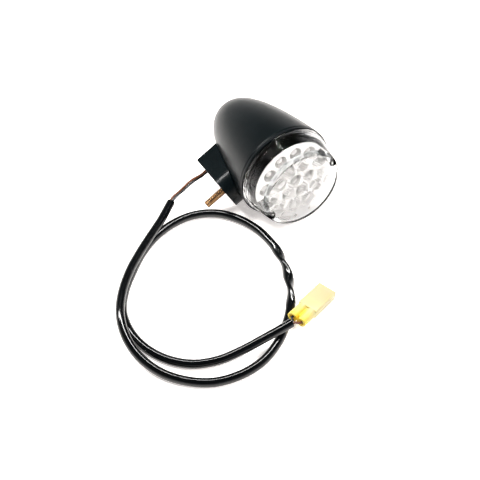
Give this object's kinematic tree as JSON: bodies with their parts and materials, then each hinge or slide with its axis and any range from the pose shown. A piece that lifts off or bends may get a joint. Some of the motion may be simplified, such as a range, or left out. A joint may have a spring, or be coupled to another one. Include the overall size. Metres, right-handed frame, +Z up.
{
  "type": "turn signal indicator",
  "caption": "Bullet-shaped motorcycle turn signal with a clear lens over a bowl of LEDs, a stem with a mounting stud, and leads in a black sleeve that end in a small connector.",
  "frame": {"origin": "centre of the lamp's footprint box on the surface that it lies on, cord and connector left out", "axes": "+Z up from the surface, -Y the way the lens faces and the length of the bullet, -X the side that the stem and the cord are on"},
  "size_m": [0.1679, 0.1712, 0.0627],
  "materials": {
    "housing_black": "satin black moulding with a soft sheen",
    "stem_black": "satin black moulding",
    "seal_rubber": "dull black rubber",
    "lens_clear": "clear moulded polycarbonate",
    "screw_black": "blackened steel",
    "carrier_black": "dull black moulding",
    "reflector_silver": "bright metallised plastic",
    "board_white": "white solder resist",
    "led_epoxy": "water-clear epoxy",
    "component_body": "dull lacquer",
    "zinc_yellow": "yellow-passivated zinc plate",
    "screw_steel": "plain zinc plate",
    "wire_brown": "soft PVC",
    "wire_black": "soft PVC",
    "sleeve_black": "glossy soft PVC",
    "connector_yellow": "translucent pale yellow nylon",
    "terminal_brass": "stamped brass"
  },
  "bodies": {
    "lamp_body": {"housing": "housing_black", "stem": "stem_black", "rim_gasket": "seal_rubber", "lens_carrier": "carrier_black", "reflector": "reflector_silver", "circuit_board": "board_white", "led_01": "led_epoxy", "led_02": "led_epoxy", "led_03": "led_epoxy", "led_04": "led_epoxy", "led_05": "led_epoxy", "led_06": "led_epoxy", "led_07": "led_epoxy", "led_08": "led_epoxy", "led_09": "led_epoxy", "led_10": "led_epoxy", "led_11": "led_epoxy", "led_12": "led_epoxy", "led_13": "led_epoxy", "led_14": "led_epoxy", "led_15": "led_epoxy", "led_16": "led_epoxy", "led_17": "led_epoxy", "resistor_1": "component_body", "resistor_2": "component_body", "diode": "component_body", "mounting_bolt": "zinc_yellow", "bolt_washer": "zinc_yellow", "stem_screw_1": "screw_steel", "stem_screw_2": "screw_steel", "wire_grommet": "seal_rubber", "inner_wire_brown": "wire_brown", "inner_wire_black": "wire_black", "wire_brown": "wire_brown", "wire_black": "wire_black", "cable_sleeve": "sleeve_black", "wire_tail_brown": "wire_brown", "wire_tail_black": "wire_black", "connector_housing": "connector_yellow", "terminal_brown": "terminal_brass", "terminal_black": "terminal_brass"},
    "lens_cover": {"lens": "lens_clear"},
    "screw_left": {"lens_screw_left": "screw_black"},
    "screw_right": {"lens_screw_right": "screw_black"}
  },
  "joints": [
    {"name": "lens_removal", "type": "slide", "parent": "lamp_body", "child": "lens_cover", "axis": [0, -0.9962, 0.0872], "range_m": [0, 0.025]},
    {"name": "screw_left_out", "type": "slide", "parent": "lens_cover", "child": "screw_left", "axis": [0, -0.9962, 0.0872], "range_m": [0, 0.014]},
    {"name": "screw_right_out", "type": "slide", "parent": "lens_cover", "child": "screw_right", "axis": [0, -0.9962, 0.0872], "range_m": [0, 0.014]}
  ]
}
